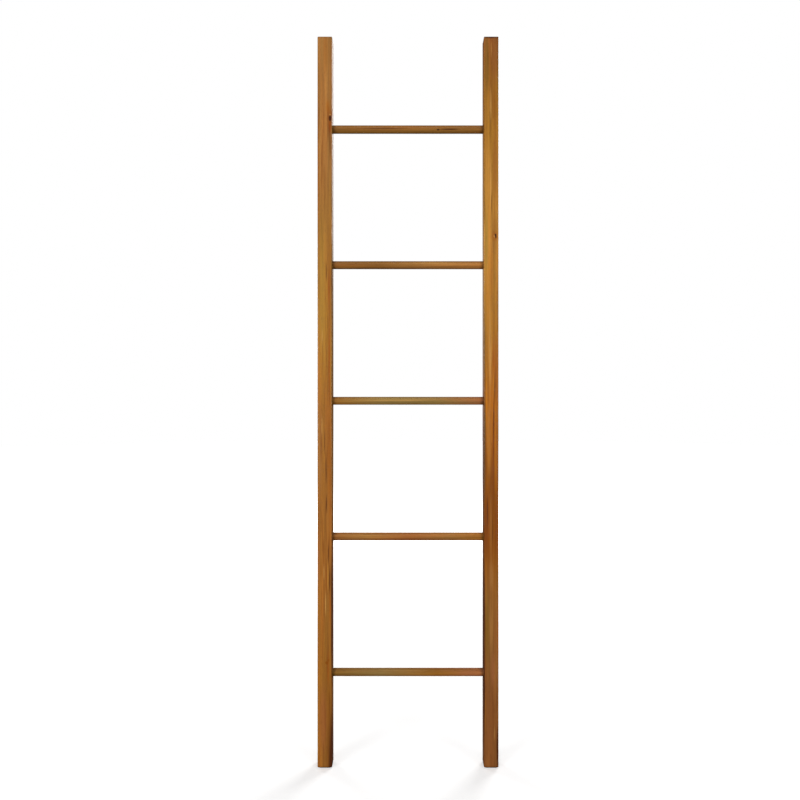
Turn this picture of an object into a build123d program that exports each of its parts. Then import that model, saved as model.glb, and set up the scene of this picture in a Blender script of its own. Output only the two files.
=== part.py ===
from build123d import *
import os

# A wooden towel ladder, standing upright: two square rails, five round rungs between them,
# and the screws, plugs and pads that go with them.
# X runs across the ladder, Y from the front to the wall side and Z up. The origin is on the floor,
# in the middle of the ladder's whole footprint, wall pads included. All lengths are in millimetres.

# Driving dimensions
OVERALL_HEIGHT = 1830.0
CLEAR_WIDTH = 380.0  # between the rails' inner faces
RAIL_WIDTH = 36.5
RAIL_DEPTH = 36.5
RUNG_DIAMETER = 20.0
RUNG_COUNT = 5
RUNG_PITCH = 342.5
LOWEST_RUNG = 234.0  # centre of the lowest rung above the floor
EDGE_RADIUS = 2.0  # along the rails
END_RADIUS = 1.5  # round the rails' ends

# Rung joint: a blind socket on the inside, a plugged screw on the outside
SOCKET_DEPTH = 20.0
SOCKET_CHAMFER = 0.4
RUNG_CHAMFER = 1.0
PLUG_DIAMETER = 10.0
PLUG_DEPTH = 6.0
PLUG_CHAMFER = 0.3
SCREW_CLEARANCE = 4.8  # bore through the web between socket and plug
PILOT_DEPTH = 42.0

# Countersunk wood screw
SCREW_LENGTH = 50.0
HEAD_DIAMETER = 8.6
HEAD_HEIGHT = 2.6
SHANK_DIAMETER = 3.4
SHANK_LENGTH = 16.0
THREAD_DIAMETER = 4.5
CORE_DIAMETER = 3.0
TIP_DIAMETER = 0.4  # a screw's point is never quite sharp
THREAD_PITCH = 2.0
THREAD_TURNS = 14
THREAD_GAP = 0.05  # from the thread's crest to the hole that it has cut
RECESS_WIDTH = 0.9
RECESS_SPAN = 4.6
RECESS_DEPTH = 1.8

# Rubber pads
FOOT_PAD_SIZE = 30.0
FOOT_PAD_RADIUS = 4.0
FOOT_PAD_THICKNESS = 2.0
FOOT_PAD_GROOVES = 4
GROOVE_WIDTH = 1.6
GROOVE_DEPTH = 0.7
WALL_PAD_DIAMETER = 20.0
WALL_PAD_THICKNESS = 3.0
WALL_PAD_EDGE = 0.8
WALL_PAD_BELOW_TOP = 14.0  # centre of the pad below the rail's top

# Worked out from the dimensions above
RAIL_LENGTH = OVERALL_HEIGHT - FOOT_PAD_THICKNESS
RAIL_CENTRE = (CLEAR_WIDTH + RAIL_WIDTH) / 2
RAIL_OUTER = CLEAR_WIDTH / 2 + RAIL_WIDTH
DEPTH_CENTRE = -WALL_PAD_THICKNESS / 2  # middle of the rails' depth
RAIL_BACK = DEPTH_CENTRE + RAIL_DEPTH / 2
RUNG_LENGTH = CLEAR_WIDTH + 2 * SOCKET_DEPTH
RUNG_HEIGHTS = [LOWEST_RUNG + RUNG_PITCH * i for i in range(RUNG_COUNT)]
SCREW_SEAT = RAIL_WIDTH - PLUG_DEPTH  # from the rail's inner face to the screw head's face
SIDES = {"left": -1, "right": 1}


def rail_blank():
    """A rail before drilling, centred on X = 0 and Y = 0, its foot at Z = 0 and its edges eased."""
    blank = extrude(Rectangle(RAIL_WIDTH, RAIL_DEPTH), RAIL_LENGTH)
    blank = fillet(blank.edges().filter_by(Axis.Z), EDGE_RADIUS)
    ends = blank.faces().filter_by(Axis.Z)
    return fillet([edge for face in ends for edge in face.edges()], END_RADIUS)


def joint_bore():
    """What one rung joint takes out of a rail, along X, with the rail's inner face at X = 0."""
    socket = RUNG_DIAMETER / 2
    clearance = SCREW_CLEARANCE / 2
    head = HEAD_DIAMETER / 2
    sink_depth = HEAD_HEIGHT * (head - clearance) / (head - SHANK_DIAMETER / 2)
    profile = Polyline(
        (0, 0),
        (0, socket + SOCKET_CHAMFER),
        (SOCKET_CHAMFER, socket),
        (SOCKET_DEPTH, socket),
        (SOCKET_DEPTH, clearance),
        (SCREW_SEAT - sink_depth, clearance),
        (SCREW_SEAT, head),
        (SCREW_SEAT, PLUG_DIAMETER / 2),
        (RAIL_WIDTH, PLUG_DIAMETER / 2),
        (RAIL_WIDTH, 0),
        close=True,
    )
    return revolve(make_face(profile), Axis.X)


def right_rail():
    """The right rail in place, drilled for every rung."""
    rail = Pos(RAIL_CENTRE, DEPTH_CENTRE, FOOT_PAD_THICKNESS) * rail_blank()
    bore = joint_bore()
    for height in RUNG_HEIGHTS:
        rail -= Pos(CLEAR_WIDTH / 2, DEPTH_CENTRE, height) * bore
    return rail


def rung():
    """A rung along X, centred on the origin, with the holes that the screws have cut in its ends."""
    bar = Rot(Y=90) * Cylinder(RUNG_DIAMETER / 2, RUNG_LENGTH)
    bar = chamfer(bar.edges().filter_by(GeomType.CIRCLE), RUNG_CHAMFER)
    pilot = Rot(Y=90) * Cylinder(THREAD_DIAMETER / 2 + THREAD_GAP, PILOT_DEPTH + SOCKET_DEPTH)
    for side in SIDES.values():
        bar -= Pos(side * (RUNG_LENGTH / 2 - (PILOT_DEPTH - SOCKET_DEPTH) / 2), 0, 0) * pilot
    return bar


def screw():
    """A screw along X, its head's face at X = 0 and its point towards -X. The thread stands as rings."""
    shank = SHANK_DIAMETER / 2
    core = CORE_DIAMETER / 2
    crest = THREAD_DIAMETER / 2
    tip = TIP_DIAMETER / 2
    points = [(0, 0), (0, HEAD_DIAMETER / 2), (-HEAD_HEIGHT, shank), (-SHANK_LENGTH, shank)]
    for turn in range(THREAD_TURNS):
        root = -SHANK_LENGTH - turn * THREAD_PITCH
        points += [(root, core), (root - THREAD_PITCH / 2, crest)]
    points += [(-SHANK_LENGTH - THREAD_TURNS * THREAD_PITCH, core)]
    points += [(-SCREW_LENGTH, tip), (-SCREW_LENGTH, 0)]
    body = revolve(make_face(Polyline(*points, close=True)), Axis.X)
    slot = Pos(-RECESS_DEPTH / 2, 0, 0) * Box(RECESS_DEPTH, RECESS_SPAN, RECESS_WIDTH)
    return body - slot - Rot(X=90) * slot


def plug():
    """A wood plug along X, its outer face at X = 0."""
    body = Pos(-PLUG_DEPTH / 2, 0, 0) * Rot(Y=90) * Cylinder(PLUG_DIAMETER / 2, PLUG_DEPTH)
    outer_edge = body.edges().filter_by(GeomType.CIRCLE).sort_by(Axis.X)[-1]
    return chamfer(outer_edge, PLUG_CHAMFER)


def foot_pad():
    """A pad on the floor at Z = 0, grooved across underneath."""
    pad = extrude(RectangleRounded(FOOT_PAD_SIZE, FOOT_PAD_SIZE, FOOT_PAD_RADIUS), FOOT_PAD_THICKNESS)
    pitch = FOOT_PAD_SIZE / (FOOT_PAD_GROOVES + 1)
    groove = Box(FOOT_PAD_SIZE, GROOVE_WIDTH, GROOVE_DEPTH)
    for i in range(FOOT_PAD_GROOVES):
        offset = (i - (FOOT_PAD_GROOVES - 1) / 2) * pitch
        pad -= Pos(0, offset, GROOVE_DEPTH / 2) * groove
    return pad


def wall_pad():
    """A round pad that stands out towards +Y from Y = 0, with its outer edge softened."""
    half = WALL_PAD_THICKNESS / 2
    pad = Pos(0, half, 0) * Rot(X=90) * Cylinder(WALL_PAD_DIAMETER / 2, WALL_PAD_THICKNESS)
    outer_edge = pad.edges().filter_by(GeomType.CIRCLE).sort_by(Axis.Y)[-1]
    return fillet(outer_edge, WALL_PAD_EDGE)


def all_pieces():
    """Every piece in place, by its node's name."""
    rail = right_rail()
    pieces = {"right_rail": rail, "left_rail": mirror(rail, about=Plane.YZ)}
    for number, height in enumerate(RUNG_HEIGHTS, 1):
        pieces[f"rung_{number}"] = Pos(0, DEPTH_CENTRE, height) * rung()

    for side, sign in SIDES.items():
        turn = Rot(Z=0 if sign > 0 else 180)
        joints = [Pos(0, DEPTH_CENTRE, height) * turn for height in RUNG_HEIGHTS]
        seat = Pos(CLEAR_WIDTH / 2 + SCREW_SEAT, 0, 0)
        pieces[f"{side}_rung_screws"] = Compound([joint * seat * screw() for joint in joints])
        for number, joint in enumerate(joints, 1):
            pieces[f"{side}_plug_{number}"] = joint * Pos(RAIL_OUTER, 0, 0) * plug()
        centre = sign * RAIL_CENTRE
        pieces[f"{side}_foot_pad"] = Pos(centre, DEPTH_CENTRE, 0) * foot_pad()
        pad_height = OVERALL_HEIGHT - WALL_PAD_BELOW_TOP
        pieces[f"{side}_wall_pad"] = Pos(centre, RAIL_BACK, pad_height) * wall_pad()
    return pieces


def main():
    os.makedirs("parts", exist_ok=True)
    for name, piece in all_pieces().items():
        export_step(piece, f"parts/{name}.step")


main()
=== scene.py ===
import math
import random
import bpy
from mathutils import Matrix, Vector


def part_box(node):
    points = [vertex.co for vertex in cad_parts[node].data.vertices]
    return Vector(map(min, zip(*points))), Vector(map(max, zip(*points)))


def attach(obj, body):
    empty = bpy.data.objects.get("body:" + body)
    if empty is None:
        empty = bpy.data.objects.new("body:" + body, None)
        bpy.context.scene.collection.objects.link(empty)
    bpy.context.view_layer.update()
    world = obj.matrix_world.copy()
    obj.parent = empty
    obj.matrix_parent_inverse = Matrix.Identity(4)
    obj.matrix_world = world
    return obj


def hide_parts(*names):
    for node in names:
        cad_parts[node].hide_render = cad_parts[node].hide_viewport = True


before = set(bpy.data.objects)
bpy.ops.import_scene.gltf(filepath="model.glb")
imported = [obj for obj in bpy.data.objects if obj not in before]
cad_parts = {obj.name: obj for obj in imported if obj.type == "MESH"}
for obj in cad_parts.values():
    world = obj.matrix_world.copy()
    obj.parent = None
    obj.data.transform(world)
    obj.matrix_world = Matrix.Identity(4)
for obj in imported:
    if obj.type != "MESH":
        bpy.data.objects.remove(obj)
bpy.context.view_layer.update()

# The towel ladder's looks: rails and rungs rebuilt as sanded, hand-eased timber round the packed
# joints, and every piece in a procedural material. Lengths are in metres, except that names ending
# in _mm or _MM, and the wood's patterns, tones, marks and dirt, are in millimetres.

from types import SimpleNamespace

import bmesh
import bpy
from mathutils import Vector, noise

MM = 0.001
SIDES = {"left": -1, "right": 1}
RUNGS = [f"rung_{number}" for number in range(1, 6)]

# Rails
EDGE_RADIUS = 2.0 * MM
EDGE_UNEVENNESS = 0.28  # share of the edge radius that hand sanding varies
SHARPEST_EDGE = 0.3 * MM
END_RADIUS = 1.5 * MM
END_STEPS = 4
RING_STEP = 4.0 * MM
ARC_STEPS = 3  # faces in half a corner
FLAT_STEPS = 8  # faces across a flat side
SIDE_STEPS = 2 * ARC_STEPS + FLAT_STEPS
FACE_WAVE = 0.05 * MM
DENTS_PER_RAIL = 16
DENT_HALF_LENGTH_MM = (3, 9)
DENT_EXTRA_RADIUS_MM = (0.5, 1.6)

# Joints
FIT_GAP = 0.08 * MM  # hairline round a rung or plug
SOCKET_CHAMFER = 0.4 * MM
SCREW_CLEARANCE_RADIUS = 2.4 * MM
HEAD_RADIUS = 4.33 * MM  # a hair wider than the screw's head
HEAD_SINK = 1.9 * MM
PAST_FACE = 1.0 * MM  # how far a bore's cutter stands out of the rail
BORE_FACES = 48

# Rungs
RUNG_FACES = 48
RUNG_STEP = 6.0 * MM
RUNG_CHAMFER = 1.0 * MM
RUNG_WAVE = 0.07 * MM
WAVE_FROM = 5.0 * MM  # surfaces of a smaller radius are not waved
PILOT_RADIUS = 2.3 * MM
PILOT_DEPTH = 42.0 * MM

SHARP_ANGLE = math.radians(32)

# Where things lie on a piece's map, which runs from 0 to 1 both ways
MAP_MARGIN = 0.01
SIDE_PITCH = 0.215  # from one side of a rail to the next
SIDE_WIDTH = 0.97  # as a share of the pitch
SIDE_LENGTH = 0.98
END_CENTRES = ((0.93, 0.065), (0.93, 0.165))  # a rail's foot and top
END_HALF = 0.045
BORE_CORNER = (0.885, 0.24)  # of the lowest rung's bore
BORE_PITCH = 0.15
BORE_SIZE = (0.1, 0.13)


def srgb(red, green, blue):
    """A colour given as display values from 0 to 255, as the linear RGBA that shaders take."""
    linear = []
    for value in (red, green, blue):
        share = value / 255
        linear.append(share / 12.92 if share <= 0.04045 else ((share + 0.055) / 1.055) ** 2.4)
    return (*linear, 1.0)


SHEEN = 0.008  # what oiled wood reflects on top of its own colour


def oiled(red, green, blue):
    """The wood's own colour, from the display values that the oiled surface shows."""
    return (*(max(value - SHEEN, 0.002) for value in srgb(red, green, blue)[:3]), 1.0)


TAN = oiled(160, 110, 58)
GOLD = oiled(186, 131, 58)
HONEY = oiled(164, 112, 44)
ORANGE = oiled(170, 102, 32)
AMBER = oiled(178, 114, 46)
UMBER = oiled(134, 76, 20)
EMBER = oiled(124, 66, 10)
OLIVE = oiled(145, 95, 40)
BROWN = oiled(153, 99, 44)
RUSSET = oiled(138, 84, 42)
ROSE = oiled(158, 98, 62)
MOSS = oiled(166, 124, 54)
SMOKY = oiled(124, 86, 36)
STRAW = oiled(146, 116, 66)
CLAY = oiled(132, 82, 44)
WALNUT = oiled(138, 93, 46)
COPPER = oiled(152, 94, 50)
DARK = oiled(76, 42, 18)
BLACKENED = oiled(44, 27, 14)
RUST = oiled(150, 78, 28)
PALE = oiled(212, 160, 88)


# ---------------------------------------------------------------- meshes

def show(name, mesh, node, material):
    """Shows a mesh as a piece that rides on the root, stands for a CAD node and wears a material."""
    mesh.shade_smooth()
    mesh.set_sharp_from_angle(angle=SHARP_ANGLE)
    mesh.materials.clear()
    mesh.materials.append(material)
    piece = bpy.data.objects.new(name, mesh)
    bpy.context.scene.collection.objects.link(piece)
    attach(piece, "root")
    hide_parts(node)


def section_point(half_x, half_y, radii, step):
    """A point on a rounded rectangle. Steps run anticlockwise from the middle of the +X +Y corner."""
    side, along = divmod(step, SIDE_STEPS)
    quarter = math.pi / 2
    signs = [(1, 1), (-1, 1), (-1, -1), (1, -1)]

    def on_corner(corner, turn):
        sign_x, sign_y = signs[corner % 4]
        radius = radii[corner % 4]
        angle = (corner % 4) * quarter + turn * quarter
        return (
            sign_x * (half_x - radius) + radius * math.cos(angle),
            sign_y * (half_y - radius) + radius * math.sin(angle),
        )

    if along <= ARC_STEPS:
        return on_corner(side, 0.5 + 0.5 * along / ARC_STEPS)
    if along >= ARC_STEPS + FLAT_STEPS:
        return on_corner(side + 1, 0.5 * (along - ARC_STEPS - FLAT_STEPS) / ARC_STEPS)
    start = on_corner(side, 1.0)
    end = on_corner(side + 1, 0.0)
    share = (along - ARC_STEPS) / FLAT_STEPS
    return start[0] + (end[0] - start[0]) * share, start[1] + (end[1] - start[1]) * share


def rail_levels(low, high):
    """(height, inset) of each ring of a rail, with its ends rounded over."""
    start = []
    for step in range(END_STEPS + 1):
        angle = step / END_STEPS * math.pi / 2
        start.append((END_RADIUS * (1 - math.cos(angle)), END_RADIUS * (1 - math.sin(angle))))
    length = high - low
    count = round((length - 2 * END_RADIUS) / RING_STEP)
    step = (length - 2 * END_RADIUS) / count
    middle = [(END_RADIUS + step * i, 0.0) for i in range(1, count)]
    end = [(length - rise, inset) for rise, inset in reversed(start)]
    return [(low + rise, inset) for rise, inset in start + middle + end]


def make_dents(seed, low, high):
    """Small knocks on a rail's corners: (corner, height, half length, extra edge radius)."""
    draw = random.Random(seed)
    dents = []
    for _ in range(DENTS_PER_RAIL):
        height = draw.uniform(low, high)
        half_length = draw.uniform(*DENT_HALF_LENGTH_MM) * MM
        extra = draw.uniform(*DENT_EXTRA_RADIUS_MM) * MM
        dents.append((draw.randrange(4), height, half_length, extra))
    return dents


def corner_radii(height, dents, seed):
    """The four eased edges' radii at a height, uneven as sanding leaves them."""
    radii = []
    for corner in range(4):
        sway = noise.noise(Vector((height * 5.0, corner * 9.7, seed)))
        sway += 0.5 * noise.noise(Vector((height * 19.0, corner * 5.3, seed + 40)))
        radius = EDGE_RADIUS * (1 + EDGE_UNEVENNESS * sway)
        for dent_corner, at, half_length, extra in dents:
            if dent_corner == corner:
                radius += extra * math.exp(-(((height - at) / half_length) ** 2))
        radii.append(radius)
    return radii


def rail_mesh(name, node, seed):
    """A rail as a closed mesh, with rings up its length."""
    low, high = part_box(node)
    centre = (low + high) / 2
    half_x = (high.x - low.x) / 2
    half_y = (high.y - low.y) / 2
    levels = rail_levels(low.z, high.z)
    dents = make_dents(seed, low.z, high.z)

    shape = bmesh.new()
    rings = []
    for height, inset in levels:
        radii = [max(radius - inset, SHARPEST_EDGE) for radius in corner_radii(height, dents, seed)]
        ring = []
        for step in range(4 * SIDE_STEPS):
            x, y = section_point(half_x - inset, half_y - inset, radii, step)
            outward = Vector((x, y, 0)).normalized()
            wave = noise.noise(Vector((x * 30, y * 30, height * 9 + seed))) - 0.5
            shift = outward * FACE_WAVE * wave
            ring.append(shape.verts.new((centre.x + x + shift.x, centre.y + y + shift.y, height)))
        rings.append(ring)

    map_layer = shape.loops.layers.uv.new("OFBake")
    shares = [(height - low.z) / (high.z - low.z) for height, _ in levels]
    add_rail_sides(shape, map_layer, rings, shares)
    for ring, (u, v) in zip((list(reversed(rings[0])), rings[-1]), END_CENTRES):
        for loop in shape.faces.new(ring).loops:
            spot = loop.vert.co - centre
            loop[map_layer].uv = (u + spot.x / half_x * END_HALF, v + spot.y / half_y * END_HALF)
    mesh = bpy.data.meshes.new(name)
    shape.normal_update()
    shape.to_mesh(mesh)
    shape.free()
    return mesh


def add_rail_sides(shape, map_layer, rings, shares):
    """Faces between a rail's rings, each side as one strip of the map. Shares are the rings' heights,
    from 0 at the foot to 1 at the top."""
    for (lower, upper), (low_share, high_share) in zip(zip(rings, rings[1:]), zip(shares, shares[1:])):
        bottom = MAP_MARGIN + SIDE_LENGTH * low_share
        top = MAP_MARGIN + SIDE_LENGTH * high_share
        for step in range(4 * SIDE_STEPS):
            after = (step + 1) % (4 * SIDE_STEPS)
            face = shape.faces.new((lower[step], lower[after], upper[after], upper[step]))
            side, along = divmod(step, SIDE_STEPS)
            left = MAP_MARGIN + SIDE_PITCH * (side + along / SIDE_STEPS * SIDE_WIDTH)
            right = MAP_MARGIN + SIDE_PITCH * (side + (along + 1) / SIDE_STEPS * SIDE_WIDTH)
            places = ((left, bottom), (right, bottom), (right, top), (left, top))
            for loop, place in zip(face.loops, places):
                loop[map_layer].uv = place


def axis_of(node):
    """Where the line along X through a node's middle stands, as (y, z)."""
    low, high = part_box(node)
    return (low.y + high.y) / 2, (low.z + high.z) / 2


def lathe(name, profile, axis, faces, wave=0.0, seed=0.0, corner=(0.0, 0.0), extent=(1.0, 1.0)):
    """A body of revolution about a line along X, from (x, radius) points. Its map fills a rectangle.
    The wave leaves surfaces thinner than WAVE_FROM true."""
    shape = bmesh.new()
    map_layer = shape.loops.layers.uv.new("OFBake")
    rings = []
    run = [0.0]
    for (x0, r0), (x1, r1) in zip(profile, profile[1:]):
        run.append(run[-1] + math.hypot(x1 - x0, r1 - r0))
    for x, radius in profile:
        if radius == 0:
            rings.append([shape.verts.new((x, *axis))])
            continue
        ring = []
        for step in range(faces):
            angle = 2 * math.pi * step / faces
            out = Vector((0, math.cos(angle), math.sin(angle)))
            sway = noise.noise(Vector((x * 11, out.y * 0.8 + seed, out.z * 0.8)))
            reach = radius + (wave * sway if radius > WAVE_FROM else 0)
            ring.append(shape.verts.new((x, axis[0] + out.y * reach, axis[1] + out.z * reach)))
        rings.append(ring)
    for index, (near, far) in enumerate(zip(rings, rings[1:])):
        bottom = corner[1] + extent[1] * run[index] / run[-1]
        top = corner[1] + extent[1] * run[index + 1] / run[-1]
        for step in range(faces):
            after = (step + 1) % faces
            left = corner[0] + extent[0] * step / faces
            right = corner[0] + extent[0] * (step + 1) / faces
            if len(near) == 1:
                corners = [(near[0], left, bottom), (far[after], right, top), (far[step], left, top)]
            elif len(far) == 1:
                corners = [(near[step], left, bottom), (near[after], right, bottom), (far[0], left, top)]
            else:
                corners = [
                    (near[step], left, bottom),
                    (near[after], right, bottom),
                    (far[after], right, top),
                    (far[step], left, top),
                ]
            face = shape.faces.new([spot[0] for spot in corners])
            for loop, spot in zip(face.loops, corners):
                loop[map_layer].uv = spot[1:]
    bmesh.ops.recalc_face_normals(shape, faces=shape.faces)
    mesh = bpy.data.meshes.new(name)
    shape.to_mesh(mesh)
    shape.free()
    return mesh


def bore_mesh(side, number):
    """What one rung joint takes out of a rail: socket, screw hole, countersink and plug hole."""
    sign = SIDES[side]
    rung_low, rung_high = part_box(RUNGS[number])
    plug_low, plug_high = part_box(f"{side}_plug_{number + 1}")
    rail_low, rail_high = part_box(f"{side}_rail")
    socket_radius = (rung_high.z - rung_low.z) / 2 + FIT_GAP
    plug_radius = (plug_high.z - plug_low.z) / 2 + FIT_GAP
    inner = rail_low.x if sign > 0 else rail_high.x
    outer = rail_high.x if sign > 0 else rail_low.x
    floor = rung_high.x if sign > 0 else rung_low.x
    seat = plug_low.x if sign > 0 else plug_high.x
    profile = [
        (inner - PAST_FACE * sign, 0),
        (inner - PAST_FACE * sign, socket_radius + SOCKET_CHAMFER + PAST_FACE),
        (inner + SOCKET_CHAMFER * sign, socket_radius),
        (floor, socket_radius),
        (floor, SCREW_CLEARANCE_RADIUS),
        (seat - HEAD_SINK * sign, SCREW_CLEARANCE_RADIUS),
        (seat, HEAD_RADIUS),
        (seat, plug_radius),
        (outer + PAST_FACE * sign, plug_radius),
        (outer + PAST_FACE * sign, 0),
    ]
    corner = (BORE_CORNER[0], BORE_CORNER[1] + BORE_PITCH * number)
    name = f"bore_{side}_{number}"
    return lathe(name, profile, axis_of(RUNGS[number]), BORE_FACES, corner=corner, extent=BORE_SIZE)


def cut(mesh, cutters):
    """The mesh with every cutter taken out of it."""
    body = bpy.data.objects.new("cut_body", mesh)
    bpy.context.scene.collection.objects.link(body)
    tools = []
    for cutter in cutters:
        tool = bpy.data.objects.new(cutter.name, cutter)
        bpy.context.scene.collection.objects.link(tool)
        tools.append(tool)
        modifier = body.modifiers.new("cut", "BOOLEAN")
        modifier.operation = "DIFFERENCE"
        modifier.solver = "EXACT"
        modifier.object = tool
    bpy.context.view_layer.update()
    graph = bpy.context.evaluated_depsgraph_get()
    result = bpy.data.meshes.new_from_object(body.evaluated_get(graph), depsgraph=graph)
    result.name = mesh.name
    for thing in [body, *tools]:
        bpy.data.objects.remove(thing)
    return result


def rung_mesh(node, seed):
    """A dowel with chamfered ends and the pilot holes that the screws have cut."""
    low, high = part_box(node)
    radius = (high.z - low.z) / 2
    start = [
        (low.x + PILOT_DEPTH, 0),
        (low.x + PILOT_DEPTH, PILOT_RADIUS),
        (low.x, PILOT_RADIUS),
        (low.x, radius - RUNG_CHAMFER),
        (low.x + RUNG_CHAMFER, radius),
    ]
    count = round((high.x - low.x - 2 * RUNG_CHAMFER) / RUNG_STEP)
    step = (high.x - low.x - 2 * RUNG_CHAMFER) / count
    middle = [(low.x + RUNG_CHAMFER + step * i, radius) for i in range(1, count)]
    end = [(low.x + high.x - x, r) for x, r in reversed(start)]
    return lathe(node, start + middle + end, axis_of(node), RUNG_FACES, wave=RUNG_WAVE, seed=seed)


# ---------------------------------------------------------------- materials

class Nodes:
    """A material's nodes. Most calls take numbers or sockets and return an output socket."""

    def __init__(self, name):
        self.material = bpy.data.materials.new(name)
        self.material.use_nodes = True
        self.tree = self.material.node_tree
        self.shader = self.tree.nodes["Principled BSDF"]

    def feed(self, socket, value):
        if isinstance(value, bpy.types.NodeSocket):
            self.tree.links.new(value, socket)
        else:
            socket.default_value = value

    def add(self, kind, inputs=(), **settings):
        node = self.tree.nodes.new(kind)
        for key, value in settings.items():
            setattr(node, key, value)
        for key, value in dict(inputs).items():
            self.feed(node.inputs[key], value)
        return node

    def math(self, operation, a, b=0.0, clamp=False):
        return self.add("ShaderNodeMath", {0: a, 1: b}, operation=operation, use_clamp=clamp).outputs[0]

    def vector(self, operation, a, b=(0.0, 0.0, 0.0)):
        return self.add("ShaderNodeVectorMath", {0: a, 1: b}, operation=operation).outputs["Vector"]

    def length(self, a):
        return self.add("ShaderNodeVectorMath", {0: a}, operation="LENGTH").outputs["Value"]

    def scaled(self, a, factor):
        inputs = {0: a, "Scale": factor}
        return self.add("ShaderNodeVectorMath", inputs, operation="SCALE").outputs["Vector"]

    def swing(self, value, size):
        """A value between 0 and 1 as a swing of a given size, up and down from 0."""
        return self.math("MULTIPLY", self.math("SUBTRACT", value, 0.5), size)

    def parts(self, vector):
        return self.add("ShaderNodeSeparateXYZ", {0: vector}).outputs

    def joined(self, x, y, z):
        return self.add("ShaderNodeCombineXYZ", {0: x, 1: y, 2: z}).outputs[0]

    def noise(self, vector, detail=2.0, roughness=0.5, output="Fac"):
        inputs = {"Vector": vector, "Scale": 1.0, "Detail": detail, "Roughness": roughness}
        return self.add("ShaderNodeTexNoise", inputs).outputs[output]

    def smooth(self, value, low, high):
        inputs = {"Value": value, "From Min": low, "From Max": high}
        return self.add("ShaderNodeMapRange", inputs, interpolation_type="SMOOTHSTEP").outputs["Result"]

    def mix(self, factor, a, b):
        return self.add("ShaderNodeMix", {0: factor, 6: a, 7: b}, data_type="RGBA").outputs[2]

    def ramp(self, factor, stops):
        """Colours or greys by (position, value), in order."""
        node = self.add("ShaderNodeValToRGB", {"Fac": factor})
        elements = node.color_ramp.elements
        while len(elements) < len(stops):
            elements.new(0.5)
        for element, (position, colour) in zip(elements, stops):
            element.position = position
            element.color = colour if isinstance(colour, tuple) else (colour, colour, colour, 1.0)
        return node.outputs["Color"]

    def surface(self, colour, rough, relief, strength, relief_depth):
        """Gives the shader its colour, its roughness and bumps from the relief."""
        inputs = {"Strength": strength, "Distance": relief_depth, "Height": relief}
        bump = self.add("ShaderNodeBump", inputs)
        self.feed(self.shader.inputs["Base Color"], colour)
        self.feed(self.shader.inputs["Roughness"], rough)
        self.feed(self.shader.inputs["Normal"], bump.outputs["Normal"])


RING_MM = 3.4  # one year's growth
YEAR = [(0.0, 0.1), (0.1, 0.85), (0.45, 0.6), (0.88, 0.3), (1.0, 0.1)]  # how pale it is through a year
DRIFT_MM = 15.0  # how far the grain wanders along a piece
WOBBLE_MM = 1.5
TREE_STRETCH_MM = 731.0  # from one piece's place in the tree to the next one's
REDDER = (1.06, 0.96, 0.86, 1.0)  # what the wood's hue sways between
GREENER = (0.95, 1.03, 0.98, 1.0)
WHITE = (1.0, 1.0, 1.0, 1.0)
FLAME_TINT = (0.58, 0.44, 0.28)  # what a dark streak does to the colour round it
END_TINT = (1.0, 0.86, 0.7)  # end grain drinks more oil, so it is darker and redder
SOAK_MM = 7.0  # how far the oil has darkened a piece from its ends
MARK_DEPTH_MM = 6.0
KNOT_RINGS = 17.0  # how closely a knot's own rings stand

# How often each pattern changes in a millimetre, twice across the grain and then along it
DRIFT_PACE = (0.012, 0.012, 0.0016)
WOBBLE_PACE = (0.09, 0.09, 0.011)
BAND_PACE = (0.11, 0.09, 0.0026)
FIBRE_PACE = (0.62, 0.62, 0.0085)
FINE_PACE = (4.0, 4.0, 0.08)
PORE_PACE = (2.6, 2.6, 0.10)
HUE_PACE = (0.075, 0.075, 0.0030)
FLAME_PACE = (0.30, 0.30, 0.0075)
BUSY_PACE = (0.03, 0.03, 0.0042)
KNOT_PACE = (1.1, 1.1, 0.5)


def add_mark(n, colour, local, fibre, front, mark):
    """A streak or stain: (across, height, half width, half height, tone, strength, depth if it isn't
    shallow)."""
    across, height, half_width, half_height, tone, strength, *depth = mark
    half_size = (half_width, depth[0] if depth else MARK_DEPTH_MM, half_height)
    away = n.vector("DIVIDE", n.vector("SUBTRACT", local, (across, front, height)), half_size)
    mask = n.smooth(n.length(away), 1.0, 0.2)
    ragged = n.math("ADD", 0.3, n.math("MULTIPLY", fibre, 1.4))
    mask = n.math("MULTIPLY", n.math("MULTIPLY", mask, ragged), strength, clamp=True)
    return n.mix(mask, colour, tone)


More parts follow.
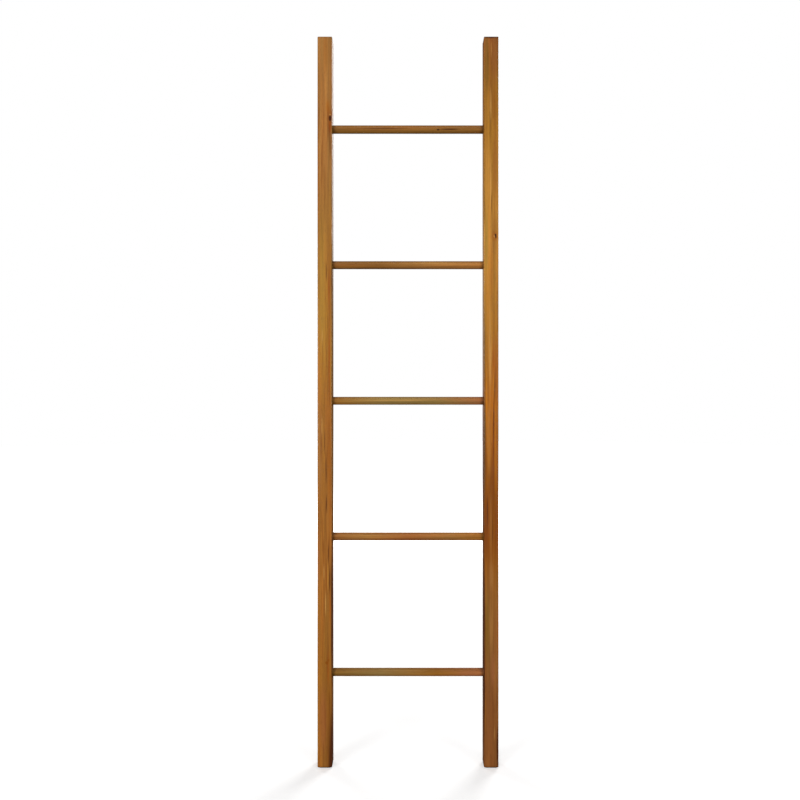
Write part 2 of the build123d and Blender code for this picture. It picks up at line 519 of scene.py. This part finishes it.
def add_knot(n, colour, local, front, knot):
    """A small tight knot with its own rings, pale on one side and dark on the other: (across, height,
    half width, half height, which way the dark side faces, how far it reaches past the middle)."""
    across, height, half_width, half_height, (dark_x, dark_z), lean = knot
    away = n.vector("SUBTRACT", local, (across, front, height))
    away = n.vector("DIVIDE", away, (half_width, MARK_DEPTH_MM, half_height))
    ragged = n.noise(n.vector("MULTIPLY", local, KNOT_PACE), 3.0, 0.6)
    far = n.math("ADD", n.length(away), n.swing(ragged, 1.1))
    x, _, z = n.parts(away)
    facing = n.math("ADD", n.math("MULTIPLY", x, dark_x), n.math("MULTIPLY", z, dark_z))
    facing = n.math("ADD", facing, n.swing(ragged, 0.9))
    rim = n.math("MULTIPLY", n.smooth(far, 1.3, 1.05), n.smooth(facing, -0.3 - lean, 0.45 - lean))
    eye = n.math("MULTIPLY", n.smooth(far, 0.95, 0.6), n.smooth(facing, 0.2 - lean, -0.2 - lean))
    rings = n.math("MULTIPLY", n.math("SINE", n.math("MULTIPLY", far, KNOT_RINGS)), 0.5)
    rings = n.math("ADD", rings, 0.5)
    dark = n.mix(n.math("MULTIPLY", rings, 0.4), BLACKENED, EMBER)
    pale = n.mix(n.math("MULTIPLY", rings, 0.5), PALE, RUST)
    colour = n.mix(n.math("MULTIPLY", n.smooth(far, 3.2, 1.0), 0.45), colour, RUST)
    colour = n.mix(n.math("MULTIPLY", eye, 0.8), colour, pale)
    return n.mix(n.math("MULTIPLY", rim, 0.95), colour, dark)


def push_round(n, bent, local, front, knot):
    """Grain that runs round a knot instead of through it."""
    across, height, half_width, half_height, *_ = knot
    away = n.vector("SUBTRACT", local, (across, front, height))
    reach = n.length(n.vector("DIVIDE", away, (3 * half_width, 3 * MARK_DEPTH_MM, 3 * half_height)))
    fade = n.math("MULTIPLY", n.smooth(reach, 1.0, 0.0), -0.8)
    return n.vector("ADD", bent, n.vector("MULTIPLY", n.scaled(away, fade), (1.0, 1.0, 0.0)))


def wander(n, wood, pace, reach_mm):
    """How far the grain strays sideways, at each place in the wood."""
    stray = n.noise(n.vector("MULTIPLY", wood, pace), 2.0, output="Color")
    return n.vector("MULTIPLY", n.vector("SUBTRACT", stray, (0.5, 0.5, 0.5)), (reach_mm, reach_mm, 0.0))


def growth_ring(n, bent):
    """How pale the wood is within a year's growth. The years aren't all as wide."""
    radius = n.length(n.vector("MULTIPLY", bent, (1.0, 1.0, 0.0)))
    height = n.parts(bent)["Z"]
    pace = n.noise(n.joined(n.math("MULTIPLY", radius, 0.07), 0.0, n.math("MULTIPLY", height, 0.0006)))
    year = n.math("ADD", n.math("DIVIDE", radius, RING_MM), n.math("MULTIPLY", pace, 5.0))
    return n.ramp(n.math("FRACT", year), YEAR)


def grain_patterns(n, wood, bent):
    """What the wood's colour and relief are made from, each between 0 and 1."""

    def pattern(pace, detail=2.0, roughness=0.5, place=bent):
        return n.noise(n.vector("MULTIPLY", place, pace), detail, roughness)

    return SimpleNamespace(
        ring=growth_ring(n, bent),
        band=pattern(BAND_PACE, 3.0),
        fibre=pattern(FIBRE_PACE, 5.0, 0.60),
        fine=pattern(FINE_PACE),
        pores=n.smooth(pattern(PORE_PACE, 1.0), 0.60, 0.70),
        hue=pattern(HUE_PACE),
        flame=pattern(FLAME_PACE, 3.0, 0.55),
        busy=n.smooth(pattern(BUSY_PACE, 1.0, place=wood), 0.38, 0.62),
    )


def grown_colour(n, grain, share, tones):
    """The tones from one end of a piece to the other, swayed in hue and shaded by the grain."""
    weights = ((grain.band, 1.15), (grain.ring, 0.13), (grain.fibre, 0.62), (grain.fine, 0.22))
    shade = 1.0
    for pattern, weight in weights:
        shade = n.math("ADD", shade, n.swing(pattern, weight))
    sway = n.ramp(grain.hue, [(0.30, REDDER), (0.5, WHITE), (0.70, GREENER)])
    return n.scaled(n.vector("MULTIPLY", n.ramp(share, tones), sway), shade)


def add_flames(n, colour, grain):
    """Dark streaks, mostly in the wood's busy stretches, and pale ones."""
    dark = n.math("ADD", 0.12, n.math("MULTIPLY", grain.busy, 0.5))
    dark = n.math("MULTIPLY", n.smooth(grain.flame, 0.54, 0.66), dark)
    pale = n.math("MULTIPLY", n.smooth(grain.flame, 0.45, 0.34), 0.20)
    colour = n.mix(dark, colour, n.vector("MULTIPLY", colour, FLAME_TINT))
    return n.mix(pale, colour, n.scaled(colour, 1.5))


def soak_ends(n, colour, along, span, fibre):
    """Oil has darkened the last few millimetres at both ends."""
    low, high = span
    from_end = n.math("MINIMUM", n.math("SUBTRACT", along, low), n.math("SUBTRACT", high, along))
    soak = n.math("MULTIPLY", n.smooth(from_end, SOAK_MM, 0.0), n.math("ADD", 0.15, fibre))
    return n.mix(n.math("MULTIPLY", soak, 0.8, clamp=True), colour, n.scaled(colour, 0.5))


def teak(
    name, origin, grain_axis, pith_mm, seed, tones, span, front,
    marks=(), knots=(), gloss=0.34, edge=None, joint_shade=None,
):
    """Oiled teak as solid wood. Growth rings stand round a pith, the grain runs along X or Z, and
    tones are colours along the grain, from one end of the span to the other. Marks and knots lie on
    the side at Y = front, and edge is where a square piece's corners are, as |x| + |y|."""
    n = Nodes(name)
    coordinates = n.add("ShaderNodeTexCoord").outputs
    local = n.scaled(n.vector("SUBTRACT", coordinates["Object"], origin), 1 / MM)
    x, y, z = n.parts(local)
    along = x if grain_axis == "X" else z
    wood = n.joined(y, z, x) if grain_axis == "X" else local
    wood = n.vector("ADD", wood, (*pith_mm, TREE_STRETCH_MM * seed))
    wobble = wander(n, wood, WOBBLE_PACE, WOBBLE_MM)
    bent = n.vector("ADD", n.vector("ADD", wood, wander(n, wood, DRIFT_PACE, DRIFT_MM)), wobble)
    for knot in knots:
        bent = push_round(n, bent, local, front, knot)
    marked = n.vector("ADD", local, n.scaled(wobble, 2.0))
    grain = grain_patterns(n, wood, bent)

    place = {"Value": along, "From Min": span[0], "From Max": span[1]}
    share = n.add("ShaderNodeMapRange", place).outputs["Result"]
    colour = grown_colour(n, grain, share, tones)
    for mark in marks:
        colour = add_mark(n, colour, marked, grain.fibre, front, mark)
    colour = add_flames(n, colour, grain)
    for knot in knots:
        colour = add_knot(n, colour, marked, front, knot)
    colour = n.mix(n.math("MULTIPLY", grain.pores, 0.36), colour, DARK)
    # Painted shade round the joints, partly oil and dust, darkens the colour here.
    if joint_shade:
        colour = n.mix(joint_shade(n, local), colour, n.scaled(colour, 0.45))
    colour = soak_ends(n, colour, along, span, grain.fibre)

    end = n.smooth(n.math("ABSOLUTE", n.parts(coordinates["Normal"])[grain_axis]), 0.55, 0.9)
    rings_on_end = n.math("ADD", 0.38, n.math("MULTIPLY", grain.ring, 0.62))
    colour = n.mix(end, colour, n.vector("MULTIPLY", n.scaled(colour, rings_on_end), END_TINT))
    rough = n.math("ADD", gloss, n.swing(grain.fine, 0.25))
    rough = n.math("ADD", rough, n.math("MULTIPLY", grain.pores, 0.2))
    rough = n.math("ADD", rough, n.math("MULTIPLY", end, 0.35))
    if edge:
        corner = n.math("ADD", n.math("ABSOLUTE", x), n.math("ABSOLUTE", y))
        rubbed = n.smooth(corner, edge - 2.4, edge - 1.3)
        rubbed = n.math("MULTIPLY", rubbed, n.math("ADD", 0.1, grain.fibre))
        colour = n.mix(n.math("MULTIPLY", rubbed, 0.55), colour, n.scaled(colour, 1.35))
        rough = n.math("SUBTRACT", rough, n.math("MULTIPLY", rubbed, 0.12))
    relief = n.math("ADD", n.math("MULTIPLY", grain.fine, 0.35), n.math("MULTIPLY", grain.fibre, 0.5))
    relief = n.math("SUBTRACT", relief, n.math("MULTIPLY", grain.pores, 0.6))
    n.surface(colour, rough, relief, 0.45, 0.18 * MM)
    n.shader.inputs["Specular IOR Level"].default_value = 0.18
    return n.material


def steel(name):
    """Plain stainless steel, turned, with a faint grain."""
    n = Nodes(name)
    point = n.add("ShaderNodeTexCoord").outputs["Object"]
    grain = n.noise(n.vector("MULTIPLY", point, (300.0, 4000.0, 4000.0)), 3.0)
    colour = n.ramp(grain, [(0.3, srgb(168, 166, 162)), (0.7, srgb(205, 203, 198))])
    rough = n.math("ADD", 0.22, n.math("MULTIPLY", grain, 0.2))
    n.surface(colour, rough, grain, 0.2, 0.03 * MM)
    n.shader.inputs["Metallic"].default_value = 1.0
    return n.material


def rubber(name):
    """Matt black rubber with a moulded grain and a little dust."""
    n = Nodes(name)
    point = n.add("ShaderNodeTexCoord").outputs["Object"]
    pebble = n.noise(n.scaled(point, 1600.0), 2.0)
    dust = n.noise(n.scaled(point, 120.0), 4.0)
    colour = n.ramp(dust, [(0.35, srgb(30, 29, 28)), (0.75, srgb(62, 60, 57))])
    rough = n.math("ADD", 0.62, n.math("MULTIPLY", dust, 0.25))
    n.surface(colour, rough, pebble, 0.5, 0.08 * MM)
    return n.material


# ---------------------------------------------------------------- the pieces' own wood

# Tones are (share of the height, colour). Marks lie on the front faces, with their places across from
# the rail's middle and up from its foot. add_mark and add_knot say what a row holds.
THROUGH = 40.0  # the depth of a streak that shows on the sides as well

# The left rail's tones darken toward the foot: partly the wood's own tone, partly painted shade of light
# falling off toward the floor.
LEFT_TONES = [
    (0.0, BROWN),
    (0.1, OLIVE),
    (0.2, BROWN),
    (0.48, BROWN),
    (0.62, HONEY),
    (0.83, TAN),
    (1.0, TAN),
]
LEFT_MARKS = [
    # lengthwise zones
    (-16.5, 1530, 2.4, 330, RUST, 0.6),
    (-6, 1170, 15, 250, MOSS, 0.75),
    (12, 1170, 7, 260, BROWN, 0.8),
    (-11, 790, 7, 160, TAN, 0.6),
    (11, 760, 9, 160, UMBER, 0.45),
    (-15, 560, 4, 150, ROSE, 0.5),
    (-4, 120, 14, 130, COPPER, 0.9),
    # Painted shade: these dark streaks on the inner edge, which show on the inner side face too, stand
    # for the inner face in shade.
    (18.6, 1100, 2.8, 900, SMOKY, 1.1, THROUGH),
    (18.5, 0, 15.0, 240, DARK, 1.1, THROUGH),
    (18.0, 380, 3.8, 280, DARK, 1.0, THROUGH),
    (14.0, 165, 1.6, 60, OLIVE, 0.7),
    # round the knot
    (7, 1652, 7, 26, ORANGE, 0.6),
    (13, 1604, 5, 26, RUST, 0.8),
    (14.3, 1552, 2.2, 42, DARK, 0.5),
    # streaks
    (16.5, 1425, 2.6, 70, SMOKY, 0.7),
    (2, 1790, 9, 90, BROWN, 0.5),
    (4, 1240, 2.4, 38, DARK, 0.6),
    (11, 1197, 3.0, 80, RUST, 0.7),
    (11.5, 1025, 3.6, 130, RUST, 0.7),
    (-6.5, 1077, 2.0, 28, PALE, 0.5),
    (-6.5, 853, 2.2, 42, PALE, 0.4),
    (0.5, 815, 2.0, 48, DARK, 0.65),
    (3.5, 752, 2.4, 62, DARK, 0.7),
    (4.6, 659, 2.2, 32, DARK, 0.75),
    (9.5, 533, 2.0, 42, DARK, 0.7),
    (8, 482, 2.2, 52, GOLD, 0.7),
    (13, 468, 2.4, 55, DARK, 0.95),
    (-2.3, 487, 2.0, 30, PALE, 0.45),
    (4.5, 465, 2.2, 50, RUST, 0.5),
    (2.4, 408, 2.0, 42, PALE, 0.5),
    (13.5, 400, 2.4, 60, RUST, 0.8),
    (9, 250, 4, 60, RUST, 0.5),
    # a dark patch
    (5.0, 262, 6.5, 6.0, UMBER, 1.0),
    (9.5, 268, 4.5, 5.0, UMBER, 0.9),
]
LEFT_KNOTS = [(13.0, 1627, 3.0, 9.5, (0.0, -1.0), 0.4)]

RIGHT_TONES = [
    (0.0, CLAY),
    (0.1, CLAY),
    (0.2, WALNUT),
    (0.3, UMBER),
    (0.4, UMBER),
    (0.5, ORANGE),
    (0.6, HONEY),
    (0.72, GOLD),
    (0.86, HONEY),
    (0.95, OLIVE),
    (1.0, RUSSET),
]
RIGHT_MARKS = [
    # lengthwise zones
    (0, 1827, 34, 5, DARK, 1.0, THROUGH),
    (-10, 1760, 8, 105, SMOKY, 0.8),
    (9, 1770, 11, 85, RUSSET, 0.7),
    (9, 1650, 9, 80, UMBER, 0.45),
    (-9, 1500, 10, 120, GOLD, 0.7),
    (10, 1510, 9, 150, BROWN, 0.85),
    (-12, 1320, 7, 130, MOSS, 0.95),
    (2, 1250, 7, 120, AMBER, 0.6),
    (9, 1335, 9, 80, OLIVE, 0.6),
    (-17.0, 1045, 4, 150, SMOKY, 0.95),
    (-3, 1040, 5, 150, PALE, 0.4),
    (12, 1000, 7, 120, RUST, 0.45),
    (-17.0, 800, 6, 170, SMOKY, 1.3),
    (-5, 830, 8, 140, AMBER, 0.9),
    (12, 800, 6, 150, ORANGE, 0.5),
    (18, 800, 2.4, 160, DARK, 0.7),
    (0, 605, 30, 130, EMBER, 0.35, THROUGH),
    (-12, 610, 7, 120, EMBER, 1.0),
    (-1, 600, 5, 130, BROWN, 0.7),
    (12, 600, 6, 110, EMBER, 0.6),
    (0, 480, 8, 60, TAN, 0.6),
    (-11, 350, 8, 130, SMOKY, 0.9),
    (0, 355, 6, 110, TAN, 0.5),
    (10, 340, 6, 120, RUSSET, 0.8),
    (17, 340, 2.6, 130, RUST, 0.9),
    (0, 110, 18, 130, CLAY, 0.8),
    (4, 245, 9, 60, ROSE, 0.4),
    # Painted shade: these dark streaks on the inner edge, which show on the inner side face too, stand
    # for the inner face in shade.
    (-18.5, 300, 4.6, 400, DARK, 1.2, THROUGH),
    (-18.5, 820, 3.4, 360, DARK, 0.7, THROUGH),
    (18.0, 50, 8.0, 85, DARK, 1.2),
    # streaks
    (0, 1795, 2.0, 30, PALE, 0.35),
    (-1.5, 1660, 3.6, 60, PALE, 0.42),
    (-1, 1460, 2.8, 95, PALE, 0.5),
    (1.5, 1410, 1.8, 40, DARK, 0.6),
    (-16.5, 1400, 2.6, 70, SMOKY, 0.8),
    (6.0, 1020, 1.8, 60, RUST, 0.9),
    (8.5, 945, 1.8, 60, DARK, 0.8),
    (5.8, 800, 2.4, 190, EMBER, 1.9),
    (6.4, 872, 1.8, 60, DARK, 0.8),
    (-14, 760, 2.4, 120, EMBER, 0.8),
    (-9, 640, 2.4, 60, DARK, 0.7),
    (3.5, 590, 1.8, 50, DARK, 0.5),
    (-14.5, 140, 2.0, 90, OLIVE, 0.6),
    (7.5, 85, 2.0, 26, PALE, 0.22),
]
RIGHT_KNOTS = [(9.0, 1329, 3.6, 5.2, (0.9, 0.3), 0.1)]

# From the lowest rung up. A rung's tones run evenly from its left end to its right one, and its marks'
# places are measured from its middle.
RUNG_TONES = [
    (SMOKY, STRAW, OLIVE, ROSE),
    (COPPER, TAN, COPPER, TAN, AMBER),
    (OLIVE, STRAW, STRAW, ROSE),
    (WALNUT, WALNUT, TAN, TAN),
    (WALNUT, WALNUT),
]
RUNG_MARKS = [
    [(150, 0, 40, 8, ROSE, 0.6)],
    [],
    [(-30, 1, 120, 2.5, PALE, 0.3)],
    [(60, 4, 90, 2.5, PALE, 0.3)],
    [
        (76, -3.6, 5, 2.4, BLACKENED, 1.2),
        (104, -2.6, 36, 2.2, DARK, 1.1),
        (-60, -1, 80, 2.0, DARK, 0.6),
    ],
]
RUNG_GLOSS = 0.30

PLUG_SPAN = (-30.0, 30.0)  # a plug is cut from the middle of a longer bit of wood

# Painted shade round the joints, partly oil and dust
RAIL_SHADE_RADII = (17.0, 10.0)  # from a rung's middle: where it starts and where it is full
RAIL_SHADE_FACE = (15.5, 17.5)  # from the rail's middle: it lies on the inner face only
RAIL_SHADE_STRENGTH = 0.55
RUNG_SHADE_LENGTH = 14.0
RUNG_SHADE_STRENGTH = 0.5


def rail_joint_shade(sign, foot):
    """Painted shade round each rung on the rail's inner face, partly oil and dust gathered there."""
    heights = [(axis_of(node)[1] - foot) / MM for node in RUNGS]
    pitch = heights[1] - heights[0]

    def mask(n, local):
        x, y, z = n.parts(local)
        pitches_up = n.math("DIVIDE", n.math("SUBTRACT", z, heights[0]), pitch)
        from_rung = n.swing(n.math("FRACT", n.math("ADD", pitches_up, 0.5)), pitch)
        near = n.smooth(n.length(n.joined(0.0, y, from_rung)), *RAIL_SHADE_RADII)
        inner = n.smooth(n.math("MULTIPLY", x, -float(sign)), *RAIL_SHADE_FACE)
        below_top = n.math("LESS_THAN", z, heights[-1] + pitch / 2)
        shaded = n.math("MULTIPLY", n.math("MULTIPLY", near, inner), below_top)
        return n.math("MULTIPLY", shaded, RAIL_SHADE_STRENGTH)

    return mask


def rung_end_shade(reach_mm):
    """Painted shade on a rung's last few millimetres before the rails, partly dust and darker oil."""

    def mask(n, local):
        from_middle = n.math("ABSOLUTE", n.parts(local)["X"])
        near = n.smooth(from_middle, reach_mm - RUNG_SHADE_LENGTH, reach_mm)
        return n.math("MULTIPLY", near, RUNG_SHADE_STRENGTH)

    return mask


def wear(node, material):
    """The CAD node keeps its mesh and takes a material of its own."""
    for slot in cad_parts[node].material_slots:
        slot.link = "OBJECT"
        slot.material = material


def build_rails():
    """Each rail in its own wood, bored for its five joints."""
    looks = {  # tones, marks, knots, where the pith stands, and seed
        "left": (LEFT_TONES, LEFT_MARKS, LEFT_KNOTS, (9.0, 58.0), 3),
        "right": (RIGHT_TONES, RIGHT_MARKS, RIGHT_KNOTS, (-7.0, 66.0), 8),
    }
    for side, (tones, marks, knots, pith_mm, seed) in looks.items():
        node = f"{side}_rail"
        low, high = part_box(node)
        wood = teak(
            f"teak_{node}",
            ((low.x + high.x) / 2, (low.y + high.y) / 2, low.z),
            "Z",
            pith_mm,
            seed,
            tones,
            (0.0, (high.z - low.z) / MM),
            (low.y - high.y) / 2 / MM,
            marks,
            knots,
            edge=(high.x - low.x + high.y - low.y) / 2 / MM,
            joint_shade=rail_joint_shade(SIDES[side], low.z),
        )
        bores = [bore_mesh(side, number) for number in range(len(RUNGS))]
        mesh = cut(rail_mesh(f"{node}_timber", node, seed), bores)
        show(f"{node}_timber", mesh, node, wood)


def build_rungs():
    """Each rung in its own wood, with its grain along X."""
    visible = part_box("right_rail")[0].x / MM
    for number, (node, tones, marks) in enumerate(zip(RUNGS, RUNG_TONES, RUNG_MARKS)):
        low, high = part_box(node)
        half = (high.x - low.x) / 2 / MM
        pith_mm = (9.0 + 7 * number, -22.0 + 6 * number)
        wood = teak(
            f"teak_{node}",
            tuple((low + high) / 2),
            "X",
            pith_mm,
            11 + number,
            [(place / (len(tones) - 1), tone) for place, tone in enumerate(tones)],
            (-half, half),
            (low.y - high.y) / 2 / MM,
            marks,
            gloss=RUNG_GLOSS,
            joint_shade=rung_end_shade(visible),
        )
        show(f"{node}_dowel", rung_mesh(node, number * 3.1), node, wood)


def build_plugs():
    """Each plug shows the long grain of its own bit of wood."""
    for side, first_seed in (("left", 21), ("right", 28)):
        for number in range(1, len(RUNGS) + 1):
            node = f"{side}_plug_{number}"
            low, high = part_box(node)
            wood = teak(
                f"teak_{node}",
                tuple((low + high) / 2),
                "Z",
                (6.0 * number, 17.0),
                first_seed + number - 1,
                [(0.0, BROWN), (1.0, OLIVE if number % 2 else HONEY)],
                PLUG_SPAN,
                (low.y - high.y) / 2 / MM,
            )
            wear(node, wood)


def build_fittings():
    """Screws and pads."""
    screw_metal = steel("screw_steel")
    pad_rubber = rubber("pad_rubber")
    for side in SIDES:
        wear(f"{side}_rung_screws", screw_metal)
        wear(f"{side}_foot_pad", pad_rubber)
        wear(f"{side}_wall_pad", pad_rubber)


# ---------------------------------------------------------------- stage, light and camera

STAGE_RADIUS = 14.0
FLOOR_GLOW = (0.38, 1.0)  # round the ladder and far away
GLOW_REACH = (0.5, 4.0)  # where the first ends and the second begins, from the middle of the stage

AIM = (0.0, 0.0, 0.9)
LIGHTS = [  # name, place, size and watts
    ("key", (-3.6, -4.4, 1.3), 2.2, 187.0),
    ("fill", (3.6, -4.4, 1.0), 2.2, 167.0),
    ("overhead", (0.0, -2.6, 4.8), 1.8, 25.0),
    ("back", (2.4, 4.0, 3.4), 2.4, 150.0),
    ("back_fill", (-3.4, 3.8, 1.4), 2.0, 110.0),
]
SKY = (0.24, 0.24, 0.24, 1.0)  # the surroundings from the horizon up
GROUND = (0.06, 0.06, 0.06, 1.0)  # the surroundings straight below
BEHIND = 0.3  # how bright the surroundings are behind the ladder, as a share of those in front

CAMERA_DISTANCE = 1.7375  # from the rails' front faces
FRAME_WIDTH_THERE = 2.0  # how much width the picture takes in at the rails' front faces
CAMERA_HEIGHT = 0.921
SENSOR_MM = 36.0
SIDE_SHIFT = -0.01  # puts the ladder a little right of the picture's middle


def stage_material(name, reflected, glow):
    """A matt white that also glows, with one brightness round the ladder and another far away."""
    n = Nodes(name)
    n.shader.inputs["Base Color"].default_value = (reflected, reflected, reflected, 1.0)
    n.shader.inputs["Roughness"].default_value = 0.9
    n.shader.inputs["Specular IOR Level"].default_value = 0.0
    n.shader.inputs["Emission Color"].default_value = WHITE
    near, far = glow
    away = n.length(n.add("ShaderNodeTexCoord").outputs["Object"])
    rise = n.math("MULTIPLY", n.smooth(away, *GLOW_REACH), far - near)
    n.feed(n.shader.inputs["Emission Strength"], n.math("ADD", rise, near))
    n.material.cycles.emission_sampling = "NONE"
    return n.material


def build_stage():
    """A pale floor and a white dome. Both show to the camera and neither lights the ladder. The floor
    glows least round the feet, so that shadows show there."""
    bpy.ops.mesh.primitive_circle_add(vertices=128, radius=STAGE_RADIUS, fill_type="NGON")
    floor = bpy.context.object
    floor.name = "floor"
    floor.data.materials.append(stage_material("floor_white", 0.85, FLOOR_GLOW))
    bpy.ops.mesh.primitive_uv_sphere_add(segments=64, ring_count=32, radius=STAGE_RADIUS)
    dome = bpy.context.object
    dome.name = "backdrop"
    dome.data.materials.append(stage_material("backdrop_white", 0.0, (1.0, 1.0)))
    for thing in (floor, dome):
        thing.visible_diffuse = False
        thing.visible_glossy = False
        thing.visible_transmission = False
        thing.visible_shadow = False


def build_lights():
    """Square soft boxes, all aimed at the ladder."""
    for name, place, size, watts in LIGHTS:
        data = bpy.data.lights.new(name, "AREA")
        data.shape = "SQUARE"
        data.size = size
        data.energy = watts
        lamp = bpy.data.objects.new(name, data)
        lamp.location = place
        lamp.rotation_mode = "QUATERNION"
        lamp.rotation_quaternion = (Vector(AIM) - Vector(place)).to_track_quat("-Z", "Y")
        lamp.visible_camera = False
        bpy.context.scene.collection.objects.link(lamp)


def build_surroundings():
    """Soft light from all round: darker below than above, and dimmer behind the ladder than in front."""
    world = bpy.data.worlds.new("studio")
    bpy.context.scene.world = world
    world.use_nodes = True
    nodes = world.node_tree.nodes
    links = world.node_tree.links
    direction = nodes.new("ShaderNodeTexCoord")
    split = nodes.new("ShaderNodeSeparateXYZ")
    links.new(direction.outputs["Generated"], split.inputs[0])

    rise = nodes.new("ShaderNodeMapRange")
    rise.inputs["From Min"].default_value = -1.0
    ramp = nodes.new("ShaderNodeValToRGB")
    elements = ramp.color_ramp.elements
    elements[0].color = GROUND
    elements[1].color = SKY
    elements.new(0.5).color = SKY
    links.new(split.outputs["Z"], rise.inputs["Value"])
    links.new(rise.outputs["Result"], ramp.inputs["Fac"])
    links.new(ramp.outputs["Color"], nodes["Background"].inputs["Color"])

    behind = nodes.new("ShaderNodeMapRange")
    behind.inputs["From Min"].default_value = -0.2
    behind.inputs["To Min"].default_value = 1.0
    behind.inputs["To Max"].default_value = BEHIND
    links.new(split.outputs["Y"], behind.inputs["Value"])
    links.new(behind.outputs["Result"], nodes["Background"].inputs["Strength"])


def build_camera():
    """A level camera, square to the ladder's front."""
    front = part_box("left_rail")[0].y
    data = bpy.data.cameras.new("camera")
    data.sensor_width = SENSOR_MM
    data.lens = SENSOR_MM * CAMERA_DISTANCE / FRAME_WIDTH_THERE
    data.shift_x = SIDE_SHIFT
    data.clip_start = 0.05
    data.clip_end = 60.0
    camera = bpy.data.objects.new("camera", data)
    camera.location = (0.0, front - CAMERA_DISTANCE, CAMERA_HEIGHT)
    camera.rotation_euler = (math.pi / 2, 0.0, 0.0)
    bpy.context.scene.collection.objects.link(camera)
    bpy.context.scene.camera = camera


build_camera()
build_rails()
build_rungs()
build_plugs()
build_fittings()
build_stage()
build_lights()
build_surroundings()
bpy.context.scene.view_settings.view_transform = "Standard"
